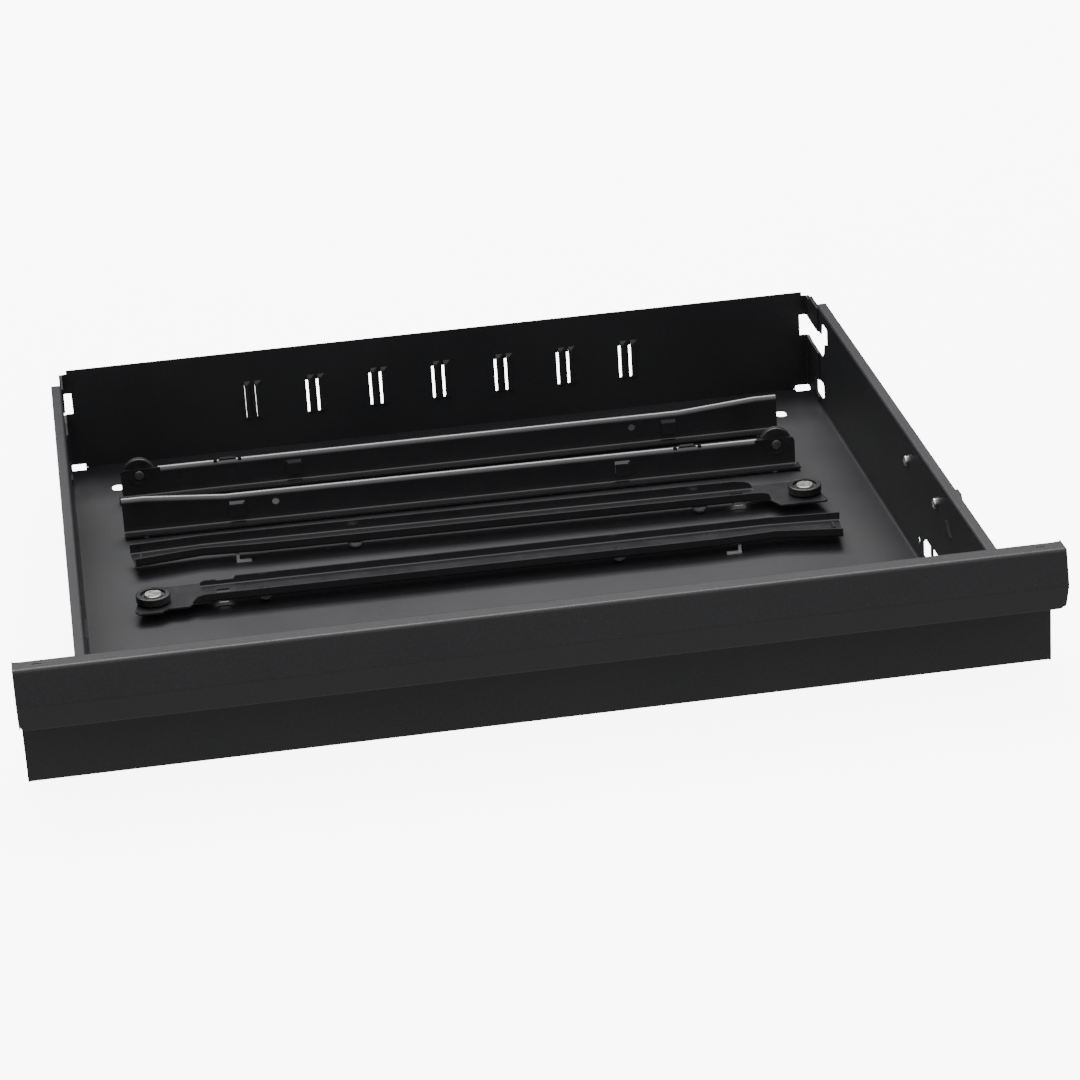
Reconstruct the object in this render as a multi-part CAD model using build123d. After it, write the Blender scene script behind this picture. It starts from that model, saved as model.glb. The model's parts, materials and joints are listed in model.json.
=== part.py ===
from build123d import *
import os

# Steel cabinet drawer with its loose set of roller slides lying inside.
# Millimetres.  While modelling, X = 0 is the middle of the drawer, Y = 0 the
# face of the lower front panel (+Y to the back) and Z = 0 the top of the pan.

# ---- driving dimensions: drawer -------------------------------------------
INNER_W = 523.0        # between the side walls
DEPTH = 471.0          # front face to the rear panel's inner face
SHEET = 1.0            # drawer sheet steel
WALL_H = 72.5          # top of the side flanges above the pan
FLANGE_W = 6.8         # outward top flange of the side walls
FLANGE_END = 441.0     # the flange stops here, ahead of the rear panel
RETURN_LEN = 36.0      # rear panel's end returns, lapped inside the walls
FRONT_W = 607.0        # overall width of the front
FRONT_DROP = 7.0       # the front hangs this far below the pan's top
GRIP_TOP = 78.0
GRIP_BACK = -18.0      # rear face of the raised grip
GRIP_NOSE = -32.0      # front edge of the grip's top band
CREASE = (-37.0, 57.0)
LIP = (-30.0, 39.0)
LIP_RETURN = 7.0
SLANT = (42.0, 58.0)   # the panel leans forward between these heights
BEND = 2.0             # radius of a folded corner
CAP_RIM = 0.6          # end caps cover the sheet's ends by this much
RIB_PITCH = 44.0       # pairs of divider ribs along the rear panel
RIB_PAIRS = 7
CATCH_SCREWS = (107.5, 180.5)    # along Y
CATCH_Z = 56.0

# ---- driving dimensions: slides -------------------------------------------
RAIL_LEN = 450.0
RAIL_T = 1.2
CAB_BASE = 1.7         # cabinet member: its lip stands on dimples, this far above the pan
CAB_H = 22.0           # top of the web above the pan
CAB_LIP = 7.0
CAB_CURL = 3.4         # outer radius of the curl along the top
CAB_FLARE = 4.2        # rise of the flared end ...
CAB_FLARE_X = (382.0, 435.0)     # ... between these places along the rail
CAB_HUB = (12.4, 17.6)     # roller axis: along the rail, above the pan
CAB_HOOKS = (112.0, 369.5)
DRW_BASE = 6.2         # drawer member: underside of its web above the pan
DRW_TOP = 12.4         # top of its front wall above the pan
DRW_HUB = 12.0         # roller axis along the rail; Y = 0 runs through it
DRW_SLANT = 3.5        # the far end is cut on a slant, this much longer at its rear wall
DRW_THROAT = ((370.0, 0.0), (408.0, 2.3), (RAIL_LEN + DRW_SLANT, -6.0))    # path of the front wall
DRW_TAIL = ((408.0, 0.0), (RAIL_LEN + DRW_SLANT, -3.9))                    # path of the rear wall
DRW_DENTS = (82.0, 308.0)
ROLLER_R = 10.9
ROLLER_W = 5.0
HUB_R = 7.9
RIVET_HEAD_R = 5.7
RIVET_R = 2.5
RUNNING = 0.05         # radial clearance of a roller on its rivet
ROLLER_GAP = 0.7       # roller face to rail
HOOK_W = 10.0

# The two drawer members differ: outer faces of the front and rear walls, top of the
# rear wall, outline of the roller end, and the step-up of each wall behind it.
DRAWER_SHAPES = {
    "right_drawer_rail": dict(
        front=-9.1, rear=16.9, rear_top=12.5,
        tongue=[(0, -12), (2.5, -17.5), (16.3, -17.5), (20.5, -13.4), (34, -13.4), (37, -9.1),
                (48, -9.1), (48, 16.9), (43, 21.6), (16, 21.6), (4, 12)],
        front_end=[(36, 7.4), (37.6, 9.2), (40, 11.4), (43.8, 12.4)],
        rear_end=[(42, 7.4), (42, 9.4), (43.4, 10.8), (45.5, 11.2), (51, 11.2), (53, 10.4), (63.4, 10.5),
                  (65, 13.1), (67, 13.1), (68.5, 12.5)]),
    "left_drawer_rail": dict(
        front=-5.6, rear=15.4, rear_top=13.9,
        tongue=[(-0.5, -14.5), (0.2, -16.6), (2, -17.6), (31, -17.6), (34, -12), (37, -5.6),
                (48, -5.6), (48, 15.4), (44, 19.9), (16, 19.9), (5, 10)],
        front_end=[(35.4, 7.4), (36.4, 10.2), (38.2, 11.4), (41.5, 12.1), (46.7, 12.4)],
        rear_end=[(44.5, 7.4), (44.8, 9.4), (46.6, 11.6), (50.5, 13.1), (57, 13.9)]),
}

# where each rail lies: roller end (X, Y), turn in degrees, mirrored or not
RAIL_PLACES = {
    "right_cabinet_rail": (-228.6, 399.1, -0.63, False),
    "left_cabinet_rail": (219.4, 326.5, -1.23, True),
    "left_drawer_rail": (224.3, 263.9, -1.69, True),
    "right_drawer_rail": (-230.0, 206.7, -0.85, False),
}

HALF = INNER_W / 2
FRONT_HALF = FRONT_W / 2 - CAP_RIM
MID_Y = (CREASE[0] + DEPTH + SHEET) / 2
CLEAR = 20.0           # how far a cutting block runs past what it cuts


def box(x0, x1, y0, y1, z0, z1):
    """Plain block between two corners."""
    return Pos(x0, y0, z0) * Box(x1 - x0, y1 - y0, z1 - z0, align=(Align.MIN,) * 3)


def prism(plane, points, start, end):
    """Extrude a closed outline drawn on a plane, from start to end along its normal."""
    return extrude(plane.offset(start) * make_face(Polyline(*points, close=True)), end - start)


def folded(points, thickness, radii):
    """Cross-section of a folded sheet lying to the right of a line."""
    line = FilletPolyline(*points, radius=radii)
    run = Vector(*points[1]) - Vector(*points[0])
    right = Vector(run.Y, -run.X).normalized() * (thickness / 2)
    probe = Vector(*points[0]) + run * 0.3 + right
    for side in (Side.RIGHT, Side.LEFT):
        section = make_face(offset(line, amount=thickness, side=side, closed=True))
        if section.faces()[0].is_inside(probe):
            return section
    raise ValueError("no side of the line holds the sheet")


def rod(place, direction, radius, length):
    """Cylinder that starts at a point and runs along a direction."""
    plane = Plane(origin=place, z_dir=direction)
    return plane * Cylinder(radius, length, align=(Align.CENTER, Align.CENTER, Align.MIN))


def swept(section, stations):
    """Carry a sheet section through stations (X, shift in Y, shift in Z), straight between them."""
    part = Part()
    for (x0, y0, z0), (x1, y1, z1) in zip(stations, stations[1:]):
        part += Solid.extrude((Pos(x0, y0, z0) * section).face(), Vector(x1 - x0, y1 - y0, z1 - z0))
    return part


def with_mirror(part):
    """A feature and its mirror image across the drawer's middle."""
    return part + mirror(part, about=Plane.YZ)


# ---- drawer ----------------------------------------------------------------
def wall_openings():
    """Openings of the right side wall: hook slots, a screw hole and a corner cut-out."""
    corner = [(DEPTH + CLEAR, 56), (459, 54.5), (429, 54.5), (427, 62), (421, 64.5), (409, 64.5),
              (409, 53), (418, 50.5), (420.5, 43), (426, 38.5), (459, 38.5), (DEPTH + CLEAR, 42)]
    rear_hole = [(447, 17.5), (424, 19.5), (422.5, 10), (431, 6), (447, 6)]
    front_hole = [(145, 6), (145, 15), (137, 20.3), (124.5, 20.3), (124.5, 6)]
    second_hole = [(120.5, 6), (120.5, 21.4), (100, 21.4), (100, 6)]
    cutter = Part()
    for outline in (corner, rear_hole, front_hole, second_hole):
        cutter += prism(Plane.YZ, outline, HALF - 6, HALF + CLEAR)
    return cutter + rod((HALF - 6, 154.8, 12.5), (1, 0, 0), 2.7, CLEAR)


def corner_relief():
    """Bend relief at the bottom rear corner, through the pan and the rear panel."""
    return box(HALF - 10.5, HALF + 0.01, DEPTH - 5, DEPTH + CLEAR, -4, 2.5)


def drawer_tray():
    """Pan and both side walls from one folded sheet, with tabs that carry the front."""
    section = folded([(-HALF - FLANGE_W, WALL_H), (-HALF, WALL_H), (-HALF, 0), (HALF, 0),
                      (HALF, WALL_H), (HALF + FLANGE_W, WALL_H)], SHEET, BEND)
    rear_end = DEPTH - 0.2
    tray = extrude(Plane.XZ.offset(-rear_end) * section, rear_end + 40)
    slant_gap = 0.6 * SHEET
    behind_front = [(SHEET, -CLEAR), (SHEET, SLANT[0] + slant_gap), (GRIP_BACK, SLANT[1] + slant_gap),
                    (GRIP_BACK, 100), (-100, 100), (-100, -CLEAR)]
    tray -= prism(Plane.YZ, behind_front, -HALF - CLEAR, HALF + CLEAR)
    short_flange = box(HALF + SHEET, HALF + CLEAR, FLANGE_END, DEPTH, WALL_H - 8, WALL_H + 1)
    cut_corner = box(HALF - 1, HALF + CLEAR, DEPTH - 10, DEPTH, WALL_H - 3, WALL_H + 1)
    pan_slot = extrude(Pos(231, 427, -3) * SlotOverall(12.5, 7.7, rotation=90), 6)
    lance = box(HALF - 1, HALF + 5, 72, 88, 47.2, 48.4)
    tray -= with_mirror(short_flange + cut_corner + pan_slot + lance + wall_openings()
                        + corner_relief())
    for y in CATCH_SCREWS:
        tray -= rod((HALF - 4, y, CATCH_Z), (1, 0, 0), 2.05, CLEAR)
    # raised lanced tabs, and tabs bent outward and upward behind the front
    tab = prism(Plane.YZ, [(70, 48.4), (90, 48.4), (80, 56)], HALF - 1.6, HALF + 0.2)
    weld_tab = box(HALF + 0.5, HALF + 24, SHEET, 2 * SHEET, 4, SLANT[0] - 6)
    tray += with_mirror(tab + weld_tab)
    return tray + box(-HALF + 6, HALF - 6, SHEET, 2 * SHEET, -SHEET, 30)


def louvres():
    """Divider louvres: pressed out into the drawer, open along the left, domed at the top."""
    side = [(DEPTH + 0.5, 22.5), (DEPTH - 2, 23.5), (DEPTH - 2, 46), (DEPTH - 1.6, 48), (DEPTH, 50),
            (DEPTH + 0.5, 50)]
    domes, hollows = Part(), Part()
    for pair in range(RIB_PAIRS):
        for offset_x in (-3.6, 3.6):
            x = (pair - RIB_PAIRS // 2) * RIB_PITCH + offset_x
            # the leftmost pair is pressed with its slits all but closed
            slit_w = 0.05 if pair == 0 else 1.5
            plan = [(x - 1.2, DEPTH + 0.5), (x - 1.2, DEPTH - 2), (x + 0.8, DEPTH - 1.8),
                    (x + 3.4, DEPTH), (x + 3.4, DEPTH + 0.5)]
            dome = prism(Plane.YZ, side, x - 1.2, x + 3.4) & prism(Plane.XY, plan, 20, 52)
            domes += dome
            hollows += Pos(0, 1.1, -1) * dome & box(x - 2, x + 4, DEPTH - 1, DEPTH + 3, 23.6, 52)
            hollows += box(x - 1.2 - slit_w, x - 1.2, DEPTH - 2.1, DEPTH + 2, 22.9, 46.5)
    return domes, hollows


def rear_panel():
    """Rear wall with end returns lapped inside the side walls and a foot under the pan."""
    inner = HALF - SHEET
    section = folded([(inner, DEPTH - RETURN_LEN), (inner, DEPTH), (-inner, DEPTH),
                      (-inner, DEPTH - RETURN_LEN)], SHEET, 1.0)
    panel = extrude(section, WALL_H - 0.8)
    domes, hollows = louvres()
    panel = panel + domes - hollows
    pan_bend = box(HALF - 2 * SHEET, HALF + 1, 0, DEPTH + 3, -1, 2.5)
    top_corner = box(HALF - 4, HALF + 1, DEPTH - 10, DEPTH + 3, WALL_H - 3.5, WALL_H + 1)
    panel -= with_mirror(top_corner + pan_bend + wall_openings() + corner_relief())
    foot_end = HALF - 12
    panel += box(-foot_end, foot_end, DEPTH, DEPTH + SHEET, -2 * SHEET, 3)
    return panel + box(-foot_end, foot_end, DEPTH - 14, DEPTH + SHEET, -2 * SHEET, -SHEET)


def front_panel():
    """Full-width front: one sheet folded into lower panel, finger gap and grip."""
    nose, crease, lip = (GRIP_NOSE + SHEET, GRIP_TOP - SHEET), (CREASE[0] + SHEET, CREASE[1]), LIP
    bottom = -FRONT_DROP
    line = [(14, bottom), (0, bottom), (0, SLANT[0]), (GRIP_BACK - SHEET, SLANT[1]),
            (GRIP_BACK - SHEET, GRIP_TOP - SHEET), nose, crease, (lip[0] + 1, lip[1] + 0.8),
            (lip[0] + LIP_RETURN, lip[1] + 1.4)]
    front = extrude(Plane.YZ.offset(-FRONT_HALF) * folded(line, SHEET, 1.6), 2 * FRONT_HALF)
    end_return = box(FRONT_HALF - SHEET, FRONT_HALF, 0.5, 14, -FRONT_DROP, SLANT[0] - 2)
    lip_corner = (box(FRONT_HALF - 5, FRONT_HALF + 1, -45, LIP[0] + 8, LIP[1] - 2, LIP[1] + 5)
                  - rod((FRONT_HALF - 5, -46, LIP[1] + 5), (0, 1, 0), 5, 40))
    clip_slot = box(287, 292, -26, -24.4, GRIP_TOP - 2, GRIP_TOP + 1)
    return front + with_mirror(end_return) - with_mirror(lip_corner + clip_slot)


def right_grip_cap():
    """Moulded plug that closes the grip's end, with a rim over the sheet's edge."""
    plug = [(-19.2, 75.8), (-20.2, 76.8), (-29.8, 76.8), (-31.2, 75.4), (-35.4, 57.2), (-30.2, 43.6),
            (-27, 41.8), (-4.5, 43.9), (-19.2, 56.4)]
    rim = [(GRIP_BACK, GRIP_TOP), (GRIP_NOSE, GRIP_TOP), CREASE, (-31.8, 43.6), (-28.6, 40.2),
           (0, 41.5), (0.7, 42.7), (GRIP_BACK, SLANT[1] + 0.4)]
    cap = prism(Plane.YZ, plug, FRONT_HALF - 3, FRONT_HALF)
    cap += prism(Plane.YZ, rim, FRONT_HALF, FRONT_HALF + CAP_RIM)
    cap += box(287.3, 291.7, -25.9, -24.5, GRIP_TOP - 5, GRIP_TOP - 0.3)
    cap += box(287.3, FRONT_HALF, -25.9, -24.5, GRIP_TOP - 5, GRIP_TOP - 2)
    # clip that grips the rear face of the sheet
    cap += box(FRONT_HALF - 3, FRONT_HALF + CAP_RIM, GRIP_BACK, GRIP_BACK + 1.0, 64, GRIP_TOP - 1.2)
    return cap


def catch_block():
    """Interlock block on the outside of the right wall, its nose standing past the flange."""
    x = HALF + SHEET
    body = [(96, 46), (194, 46), (197, 49), (197, 63), (194, 66), (104, 66), (96, 60)]
    block = prism(Plane.YZ, body, x, x + 5)
    nose = [(80, 60), (96, 50), (104, 50), (104, 70.4), (84, 70.4), (80, 68)]
    block += prism(Plane.YZ, nose, x, x + 5)
    block += prism(Plane.YZ, [(81, 62), (92, 62), (92, 70.4), (84, 70.4), (81, 68)], x + 5, x + 8.8)
    for y in CATCH_SCREWS:
        block -= rod((x - 1, y, CATCH_Z), (1, 0, 0), 2.0, 9)
    return block


def catch_screws():
    """Two cross-slotted pan-head screws, heads inside the drawer."""
    screws = []
    for y in CATCH_SCREWS:
        head = fillet(rod((HALF - 2.4, y, CATCH_Z), (1, 0, 0), 3.4, 2.4).edges().sort_by(Axis.X)[0], 1.3)
        shank = rod((HALF - 0.5, y, CATCH_Z), (1, 0, 0), 1.95, 6)
        screw = head + shank
        for angle in (20, 110):
            slot = Box(1.6, 5.0, 0.8)
            screw -= Pos(HALF - 2.6, y, CATCH_Z) * Rot(angle, 0, 0) * slot
        screws.append(screw)
    return Compound(children=screws)


# ---- slides ----------------------------------------------------------------
def cabinet_rail():
    """Cabinet member, standing on its lip; the roller end is at X = 0."""
    base, top = CAB_BASE + RAIL_T, CAB_H
    lower = Plane.YZ * folded([(-CAB_LIP, base), (0, base), (0, top - 6)], RAIL_T, 1.2)
    upper = Plane.YZ * folded([(0, 8), (0, top), (2 * CAB_CURL, top), (2 * CAB_CURL, top - 6)],
                              RAIL_T, CAB_CURL - 0.05)
    start, end = CAB_FLARE_X
    rail = swept(lower, [(0, 0, 0), (RAIL_LEN, 0, 0)])
    rail += swept(upper, [(25.5, 0, 0), (start, 0, 0), (end, 0, CAB_FLARE), (RAIL_LEN, 0, CAB_FLARE)])
    # flat roller end with a rounded corner, a rivet hole and a bead below it
    x, z = CAB_HUB
    flat = box(0, 27, 0, RAIL_T, base, top)
    rail += fillet(flat.edges().filter_by(Axis.Y).group_by(Axis.Z)[-1].sort_by(Axis.X)[0], 3)
    rail += box(-2.5, 1, -CAB_LIP, RAIL_T, CAB_BASE, base)
    bead = rod((x, -0.8, z), (0, 1, 0), 6.6, 1.0) - rod((x, -1, z), (0, 1, 0), 5.4, 2)
    rail += bead & box(x - 8, x + 8, -1, 1, z - 7, z - 1.5)
    rail -= rod((x, -2, z), (0, 1, 0), RIVET_R + 0.02, CLEAR)
    # crimp between two nicks in the curl
    for nick in (63.0, 79.5):
        rail -= box(nick, nick + 2.5, -1, 3.6, top - 1.6, top + 1)
    crimp = prism(Plane.XZ, [(66, top - 0.5), (68, top + 0.6), (77, top + 0.6), (79, top - 0.5)], -5, -1.6)
    rail += crimp
    # lanced hooks that hang the rail on the cabinet's slots
    for hook in CAB_HOOKS:
        end_x = hook + HOOK_W
        rail -= box(hook, end_x, -1, 3, 8.8, 17.4)
        rail += box(hook, end_x, -2.4, -1.2, 7.8, 15.6) + box(hook, end_x, -2.4, RAIL_T, 7.6, 8.8)
        rail += box(hook, hook + 1.0, -2.4, RAIL_T, 8.8, 15.6)
    rail -= rod((349, -2, 14.2), (0, 1, 0), 2.4, 4)
    # dimples pressed down from the lip
    for dimple in (14.5, 436.0):
        cone = Pos(dimple, -3.6, CAB_BASE / 2) * Cone(1.9, 2.9, CAB_BASE)
        rail += cone
    return rail


def drawer_rail(front, rear, rear_top, tongue, front_end, rear_end):
    """Drawer member, lying with its channel upward; the roller end is at X = 0."""
    base, floor, middle = DRW_BASE, DRW_BASE + RAIL_T, (front + rear) / 2
    near, far = front + RAIL_T, rear - RAIL_T
    front_half = Plane.YZ * folded([(near, DRW_TOP), (near, floor), (middle + 4, floor)], RAIL_T, 1.2)
    rear_half = Plane.YZ * folded([(middle - 4, floor), (far, floor), (far, rear_top)], RAIL_T, 1.2)
    rail = swept(front_half, [(34, 0, 0)] + [(x, shift, 0) for x, shift in DRW_THROAT])
    rail += swept(rear_half, [(34, 0, 0)] + [(x, shift, 0) for x, shift in DRW_TAIL])
    slant = [(RAIL_LEN, front - 7), (RAIL_LEN + DRW_SLANT, rear - 3.9), (RAIL_LEN + DRW_SLANT, rear + 4),
             (RAIL_LEN + 9, rear + 4), (RAIL_LEN + 9, front - 7)]
    rail -= prism(Plane.XY, slant, 0, CLEAR)
    # both walls step up behind the flat roller end
    above = [(20, CLEAR), (20, floor)]
    rail -= prism(Plane.XZ, above + front_end + [(front_end[-1][0], CLEAR)], -middle, CLEAR)
    rail -= prism(Plane.XZ, above + rear_end + [(rear_end[-1][0], CLEAR)], -CLEAR, -middle)
    rail += prism(Plane.XY, tongue, base, floor)
    rail -= rod((DRW_HUB, 0, 0), (0, 0, 1), RIVET_R + 0.02, CLEAR)
    # lance hole with its bridge-shaped foot below, and an angled hook near the far end
    rail -= box(52, 60, middle - 3, middle + 5, 0, floor + 1)
    foot = box(51.5, 60.5, middle - 5, middle - 3.8, 0.2, base + 0.2)
    rail += foot - box(53, 59, middle - 6, middle - 3, 2.4, base - 0.6)
    rail += box(383.6, 385.6, front + 3, front + 4.2, 0, base + 0.3)
    rail += box(376, 385.6, front + 1.5, front + 4.2, 0, RAIL_T)
    # round dents pressed down from the web
    for dent in DRW_DENTS:
        rail += Pos(dent, 1.5, base - 0.4) * Sphere(5.6) & box(0, RAIL_LEN, -20, 20, 0, floor)
        rail -= Pos(dent, 1.5, base + 0.5) * Sphere(4.5)
    # stop at the far end
    rail += box(RAIL_LEN - 4, RAIL_LEN - 4 + RAIL_T, middle - 9, middle - 1, floor - 0.3, DRW_TOP - 2)
    return rail


def roller_parts(face):
    """Tyre, hub and rivet on an axis that leaves the rail at a plane's origin."""
    inner_end, outer_end = ROLLER_GAP, ROLLER_GAP + ROLLER_W
    axis = (0, 0, 1)
    tyre = rod((0, 0, inner_end), axis, ROLLER_R, ROLLER_W)
    tyre = fillet(tyre.edges(), 0.8) - rod((0, 0, 0), axis, HUB_R + 0.01, CLEAR)
    hub = rod((0, 0, inner_end), axis, HUB_R, ROLLER_W - 1.4)
    hub = chamfer(hub.edges().sort_by(Axis.Z)[-1], 0.5) - rod((0, 0, 0), axis, RIVET_R + RUNNING, CLEAR)
    head_z = outer_end - 1.2
    head = rod((0, 0, head_z), axis, RIVET_HEAD_R, 1.3)
    head = chamfer(head.edges().sort_by(Axis.Z)[-1], 0.5)
    rivet = head + rod((0, 0, -RAIL_T - 0.5), axis, RIVET_R, head_z + RAIL_T + 1)
    rivet += rod((0, 0, 0), axis, 3.6, ROLLER_GAP - 0.2)
    tail = rod((0, 0, -RAIL_T - 1.1), axis, 3.2, 1.1)
    rivet += fillet(tail.edges().sort_by(Axis.Z)[0], 0.8)
    return {"_roller_tyre": face * tyre, "_roller_hub": face * hub, "_roller_rivet": face * rivet}


def slide_parts(name):
    """A rail and its roller's pieces, in the rail's own frame."""
    if name in DRAWER_SHAPES:
        face = Plane(origin=(DRW_HUB, 0, DRW_BASE + RAIL_T), x_dir=(1, 0, 0), z_dir=(0, 0, 1))
        return {"": drawer_rail(**DRAWER_SHAPES[name]), **roller_parts(face)}
    x, z = CAB_HUB
    face = Plane(origin=(x, RAIL_T, z), x_dir=(1, 0, 0), z_dir=(0, 1, 0))
    return {"": cabinet_rail(), **roller_parts(face)}


# ---- write every piece -------------------------------------------------------
def all_parts():
    nodes = {
        "drawer_tray": drawer_tray(),
        "rear_panel": rear_panel(),
        "front_panel": front_panel(),
        "right_grip_cap": right_grip_cap(),
        "left_grip_cap": mirror(right_grip_cap(), about=Plane.YZ),
        "catch_block": catch_block(),
        "catch_screws": catch_screws(),
    }
    for name, (x, y, turn, flipped) in RAIL_PLACES.items():
        for suffix, part in slide_parts(name).items():
            if flipped:
                part = mirror(part, about=Plane.YZ)
            nodes[name + suffix] = Pos(x, y, 0) * Rot(0, 0, turn) * part
    return nodes


os.makedirs("parts", exist_ok=True)
place = Pos(0, -MID_Y, FRONT_DROP)
for node_name, node_part in all_parts().items():
    export_step(place * node_part, f"parts/{node_name}.step")
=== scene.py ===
import json
import math

import bpy
from mathutils import Matrix, Vector

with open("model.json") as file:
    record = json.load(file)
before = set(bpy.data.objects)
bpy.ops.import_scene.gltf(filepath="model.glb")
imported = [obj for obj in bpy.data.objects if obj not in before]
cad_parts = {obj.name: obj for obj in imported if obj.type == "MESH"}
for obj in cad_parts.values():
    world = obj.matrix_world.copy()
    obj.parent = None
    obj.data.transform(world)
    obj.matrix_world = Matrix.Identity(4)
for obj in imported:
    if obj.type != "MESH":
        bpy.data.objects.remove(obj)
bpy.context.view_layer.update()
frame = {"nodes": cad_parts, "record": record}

# ---- camera: the photograph's viewing angle --------------------------------
CAMERA_AT = Vector((-0.2437, -2.1411, 0.9343))
YAW, PITCH, ROLL = 0.127, 0.400, -0.064
LENS_MM = 122.6
SENSOR_MM = 36.0

# ---- floor, light and surroundings -----------------------------------------
FLOOR_SIZE = 60
FLOOR_DROP = 0.0002         # keeps the floor just under the part's lowest faces
FLOOR_GLOW = 8.0
SOFTBOX_AT = (0, 1.6, 2.6)
SOFTBOX_SIZE = (2.6, 1.6)
SOFTBOX_WATTS = 125
# brightness of the surroundings along a direction's Z and Y: from, to, and the factors there
SKY_BY_HEIGHT = (0.36, 0.85, 0.55, 1.60)
SKY_BY_DEPTH = (0.1, 0.8, 1.0, 0.25)

# ---- painted reflection on the rails' feet ----------------------------------
CABINET_PAINTED_REFLECTION_HEIGHT = 0.0085       # height below which a cabinet rail's dents and feet get a painted reflection: light grey in place of the enamel
DRAWER_PAINTED_REFLECTION_HEIGHT = 0.0128        # the same for a drawer rail
# height over which that painted reflection fades into the enamel
PAINTED_REFLECTION_BLEND = 0.0004


def make_camera():
    """Camera placed by yaw (right of +Y), pitch (down) and roll."""
    ahead = Vector((math.sin(YAW), math.cos(YAW), 0))
    forward = ahead * math.cos(PITCH) - Vector((0, 0, math.sin(PITCH)))
    level = Vector((math.cos(YAW), -math.sin(YAW), 0))
    upright = level.cross(forward)
    right = level * math.cos(ROLL) + upright * math.sin(ROLL)
    up = upright * math.cos(ROLL) - level * math.sin(ROLL)
    data = bpy.data.cameras.new("camera")
    data.lens, data.sensor_width = LENS_MM, SENSOR_MM
    camera = bpy.data.objects.new("camera", data)
    turn = Matrix((right, up, -forward)).transposed().to_4x4()
    camera.matrix_world = Matrix.Translation(CAMERA_AT) @ turn
    bpy.context.scene.collection.objects.link(camera)
    bpy.context.scene.camera = camera


# ---- materials ---------------------------------------------------------------
MAP_RANGE = ("From Min", "From Max", "To Min", "To Max")


class Nodes:
    """Short helper for building one material's node tree."""

    def __init__(self, name, **socket_values):
        self.material = bpy.data.materials.new(name)
        self.material.use_nodes = True
        self.tree = self.material.node_tree
        self.shader = self.tree.nodes["Principled BSDF"]
        for socket, value in socket_values.items():
            self.shader.inputs[socket.replace("_", " ")].default_value = value
        self.position = self.add("ShaderNodeTexCoord").outputs["Object"]

    def add(self, kind, **properties):
        node = self.tree.nodes.new(kind)
        for name, value in properties.items():
            setattr(node, name, value)
        return node

    def link(self, output, target):
        self.tree.links.new(output, target)

    def noise(self, scale, detail=2.0, roughness=0.5):
        node = self.add("ShaderNodeTexNoise")
        node.inputs["Scale"].default_value = scale
        node.inputs["Detail"].default_value = detail
        node.inputs["Roughness"].default_value = roughness
        self.link(self.position, node.inputs["Vector"])
        return node.outputs["Fac"]

    def ramp(self, factor, low, high, low_at=0.0, high_at=1.0):
        """Map a factor to a number between low and high."""
        node = self.add("ShaderNodeMapRange")
        self.link(factor, node.inputs["Value"])
        for name, value in zip(MAP_RANGE, (low_at, high_at, low, high)):
            node.inputs[name].default_value = value
        return node.outputs["Result"]

    def math(self, operation, first, second):
        node = self.add("ShaderNodeMath", operation=operation)
        for socket, value in zip(node.inputs, (first, second)):
            if isinstance(value, (int, float)):
                socket.default_value = value
            else:
                self.link(value, socket)
        return node.outputs[0]

    def mix(self, factor, first, second):
        """Blend two colours, or the output of another mix, by a factor."""
        node = self.add("ShaderNodeMix", data_type="RGBA")
        self.link(factor, node.inputs[0])
        for socket, value in ((node.inputs[6], first), (node.inputs[7], second)):
            if isinstance(value, tuple):
                socket.default_value = (*value, 1.0)
            else:
                self.link(value, socket)
        return node.outputs[2]

    def edges(self, radius, low_at=0.02, high_at=0.25):
        """1 on sharp edges, 0 elsewhere: the angle between the true and a rounded normal."""
        bevel = self.add("ShaderNodeBevel", samples=4)
        bevel.inputs["Radius"].default_value = radius
        geometry = self.add("ShaderNodeNewGeometry")
        dot = self.add("ShaderNodeVectorMath", operation="DOT_PRODUCT")
        self.link(bevel.outputs[0], dot.inputs[0])
        self.link(geometry.outputs["Normal"], dot.inputs[1])
        away = self.math("SUBTRACT", 1.0, dot.outputs["Value"])
        return self.ramp(away, 0.0, 1.0, low_at, high_at)

    def bump(self, *layers):
        """Stack bumps, each a (height, distance) pair."""
        normal = None
        for height, distance in layers:
            node = self.add("ShaderNodeBump")
            node.inputs["Distance"].default_value = distance
            self.link(height, node.inputs["Height"])
            if normal:
                self.link(normal, node.inputs["Normal"])
            normal = node.outputs["Normal"]
        self.link(normal, self.shader.inputs["Normal"])

    def base_color(self, color):
        self.link(color, self.shader.inputs["Base Color"])

    def roughness(self, value):
        self.link(value, self.shader.inputs["Roughness"])


def powder_coat():
    """Satin black powder coat: a fine orange-peel grain, faint mottling and thin edges."""
    m = Nodes("powder_coat_black", Specular_IOR_Level=0.40)
    grain, peel = m.noise(1700, 3.0, 0.7), m.noise(700, 2.0)
    cloud = m.noise(9, 3.0)
    base = m.mix(m.ramp(cloud, 0.0, 1.0, 0.35, 0.65),
                 (0.0130, 0.0132, 0.0150), (0.0170, 0.0172, 0.0190))
    speckle = m.mix(m.ramp(grain, 0.0, 1.0, 0.50, 0.72), base, (0.038, 0.038, 0.041))
    m.base_color(m.mix(m.edges(0.0006), speckle, (0.038, 0.038, 0.041)))
    m.roughness(m.math("ADD", m.ramp(cloud, 0.40, 0.48, 0.3, 0.7),
                       m.ramp(grain, -0.07, 0.09, 0.35, 0.65)))
    m.bump((peel, 0.000014), (grain, 0.000012))
    return m.material


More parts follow.
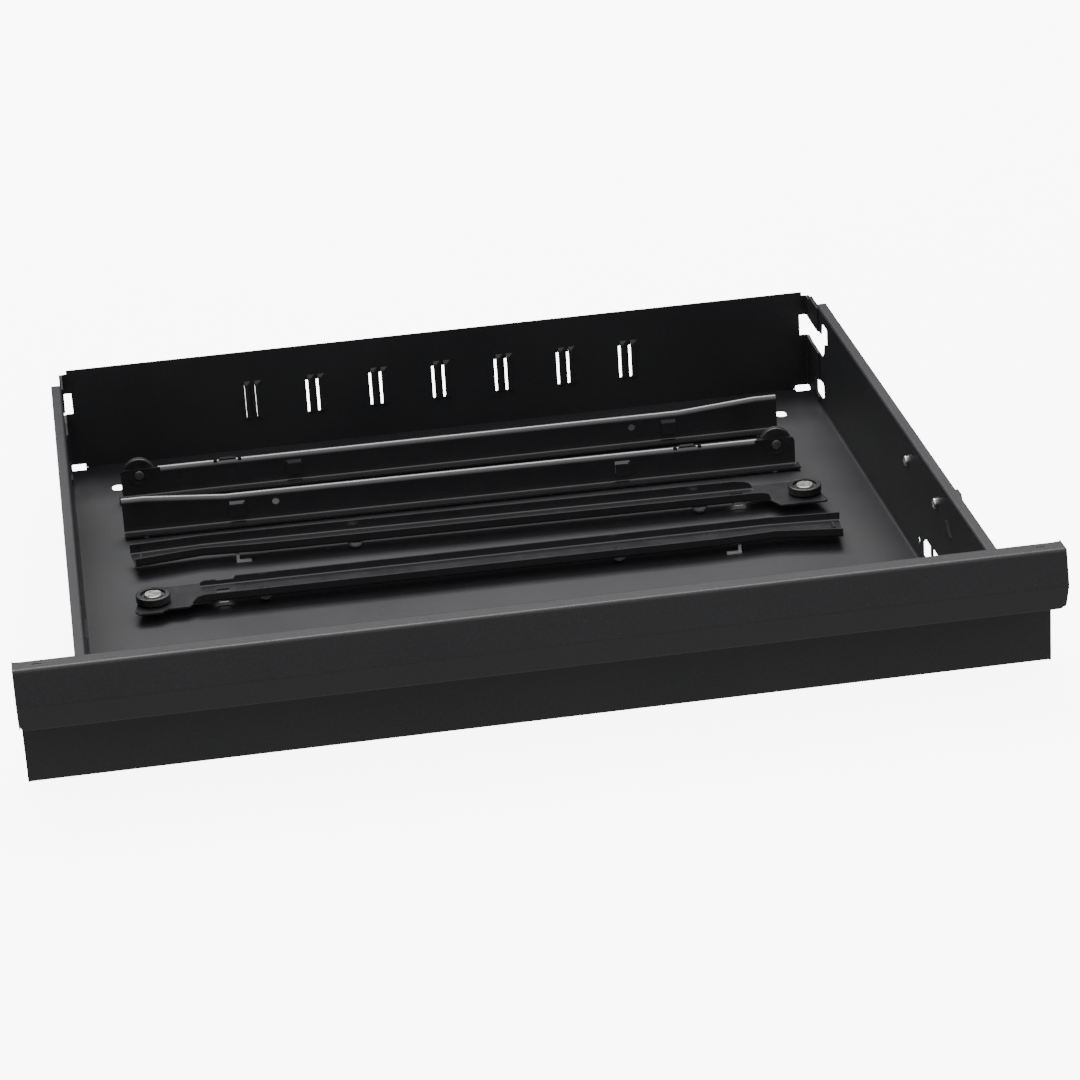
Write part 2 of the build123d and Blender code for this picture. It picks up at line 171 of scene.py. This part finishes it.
def rail_enamel(name, painted_reflection_height):
    """Glossy black enamel on rolled steel, rubbed along its bends, with a painted reflection:
    light grey on its dents and feet below a given height.
    """
    m = Nodes(name, Specular_IOR_Level=0.6, Coat_Weight=0.4, Coat_Roughness=0.08)
    flow, dust = m.noise(90, 2.0), m.noise(2400, 3.0, 0.6)
    rub_and_reflection_noise = m.noise(60, 4.0, 0.65)
    base = m.mix(m.ramp(rub_and_reflection_noise, 0.0, 1.0, 0.35, 0.7),
                 (0.0150, 0.0150, 0.0168), (0.0190, 0.0190, 0.0208))
    edge = m.math("MULTIPLY", m.edges(0.0005), m.ramp(rub_and_reflection_noise, 0.2, 0.9, 0.4, 0.65))
    painted = m.mix(edge, base, (0.034, 0.034, 0.037))
    split = m.add("ShaderNodeSeparateXYZ")
    m.link(m.position, split.inputs[0])
    # painted reflection: below the given height the dents and feet get light grey instead of
    # enamel, standing in for the light they would mirror, broken up by the noise
    below = m.ramp(split.outputs["Z"], 1.0, 0.0, painted_reflection_height - PAINTED_REFLECTION_BLEND, painted_reflection_height)
    painted_reflection_mask = m.math("MULTIPLY", below, m.ramp(rub_and_reflection_noise, 0.75, 1.0, 0.35, 0.6))
    # the light grey (0.42) is the painted reflection colour
    m.base_color(m.mix(painted_reflection_mask, painted, (0.42, 0.42, 0.42)))
    m.roughness(m.math("ADD", m.ramp(rub_and_reflection_noise, 0.20, 0.27, 0.3, 0.7), m.ramp(dust, -0.015, 0.03)))
    m.bump((flow, 0.000012), (dust, 0.0000012))
    return m.material


def moulded_plastic(name, color, roughness, grain_size):
    """Injection-moulded black plastic with a fine spark-eroded grain."""
    m = Nodes(name, Specular_IOR_Level=0.5)
    grain, cloud = m.noise(grain_size, 3.0, 0.6), m.noise(120, 2.0)
    lighter = tuple(channel * 1.6 + 0.004 for channel in color)
    base = m.mix(m.ramp(cloud, 0.0, 1.0, 0.35, 0.65), color, lighter)
    m.base_color(m.mix(m.edges(0.0004), base, tuple(channel * 3 for channel in color)))
    m.roughness(m.ramp(cloud, roughness - 0.05, roughness + 0.06, 0.3, 0.7))
    m.bump((grain, 0.000006))
    return m.material


def turned_steel(name):
    """Bright zinc-plated steel with fine turning marks and faint handling stains."""
    m = Nodes(name, Metallic=1.0)
    fine, stain = m.noise(3200, 2.0), m.noise(300, 3.0)
    m.base_color(m.mix(m.ramp(stain, 0.0, 1.0, 0.35, 0.7), (0.80, 0.79, 0.75), (0.62, 0.61, 0.58)))
    m.roughness(m.ramp(stain, 0.20, 0.36, 0.3, 0.7))
    m.bump((fine, 0.000004))
    return m.material


def assign_materials():
    """Give every CAD node the material of its slot."""
    black = (0.014, 0.014, 0.015)
    looks = {
        "powder_coat": powder_coat(),
        "rail_enamel": rail_enamel("cabinet_rail_enamel", CABINET_PAINTED_REFLECTION_HEIGHT),
        "grip_cap_plastic": moulded_plastic("grip_cap_plastic", (0.020, 0.020, 0.021), 0.42, 1800),
        "catch_plastic": moulded_plastic("catch_plastic", black, 0.45, 1500),
        "roller_tyre": moulded_plastic("roller_tyre_plastic", black, 0.30, 2200),
        "roller_hub": moulded_plastic("roller_hub_plastic", (0.008, 0.008, 0.009), 0.40, 2200),
        "rivet_steel": turned_steel("rivet_steel"),
        "rivet_painted": moulded_plastic("rivet_black_enamel", (0.045, 0.045, 0.047), 0.25, 900),
        "screw_steel": turned_steel("screw_steel"),
    }
    drawer_rail_enamel = rail_enamel("drawer_rail_enamel", DRAWER_PAINTED_REFLECTION_HEIGHT)
    for part in frame["record"]["subparts"]:
        obj = frame["nodes"][part["node"]]
        obj.data.materials.clear()
        is_drawer_rail = part["node"].endswith("drawer_rail")
        look = drawer_rail_enamel if is_drawer_rail else looks[part["material_slot"]]
        obj.data.materials.append(look)


# ---- stage -------------------------------------------------------------------
def make_floor():
    """Bright white studio sweep that the drawer stands on, lit through so it stays white."""
    bpy.ops.mesh.primitive_plane_add(size=FLOOR_SIZE, location=(0, 0, -FLOOR_DROP))
    floor = bpy.context.object
    floor.name = "studio_floor"
    m = Nodes("studio_floor_white", Roughness=0.9, Specular_IOR_Level=0.1,
              Emission_Strength=FLOOR_GLOW)
    white = m.mix(m.noise(3, 2.0), (0.90, 0.90, 0.90), (0.92, 0.92, 0.92))
    m.base_color(white)
    m.link(white, m.shader.inputs["Emission Color"])
    floor.data.materials.append(m.material)
    floor.visible_diffuse = floor.visible_glossy = False


def make_softbox():
    """One large soft light, above and behind the drawer."""
    data = bpy.data.lights.new("back_softbox", "AREA")
    data.shape = "RECTANGLE"
    data.size, data.size_y = SOFTBOX_SIZE
    data.energy = SOFTBOX_WATTS
    light = bpy.data.objects.new("back_softbox", data)
    light.location = SOFTBOX_AT
    light.rotation_euler = (-Vector(SOFTBOX_AT)).to_track_quat("-Z", "Y").to_euler()
    bpy.context.scene.collection.objects.link(light)


def make_world():
    """Soft studio surroundings: bright overhead, dim near the floor and behind the drawer."""
    world = bpy.data.worlds.new("studio")
    world.use_nodes = True
    tree = world.node_tree
    coordinates = tree.nodes.new("ShaderNodeTexCoord")
    split = tree.nodes.new("ShaderNodeSeparateXYZ")
    tree.links.new(coordinates.outputs["Generated"], split.inputs[0])
    strength = tree.nodes.new("ShaderNodeMath")
    strength.operation = "MULTIPLY"
    for socket, axis, limits in ((0, "Z", SKY_BY_HEIGHT), (1, "Y", SKY_BY_DEPTH)):
        ramp = tree.nodes.new("ShaderNodeMapRange")
        for name, value in zip(MAP_RANGE, limits):
            ramp.inputs[name].default_value = value
        tree.links.new(split.outputs[axis], ramp.inputs["Value"])
        tree.links.new(ramp.outputs["Result"], strength.inputs[socket])
    tree.links.new(strength.outputs[0], tree.nodes["Background"].inputs["Strength"])
    tree.nodes["Background"].inputs["Color"].default_value = (1, 1, 1, 1)
    bpy.context.scene.world = world


make_camera()
assign_materials()
make_floor()
make_world()
make_softbox()
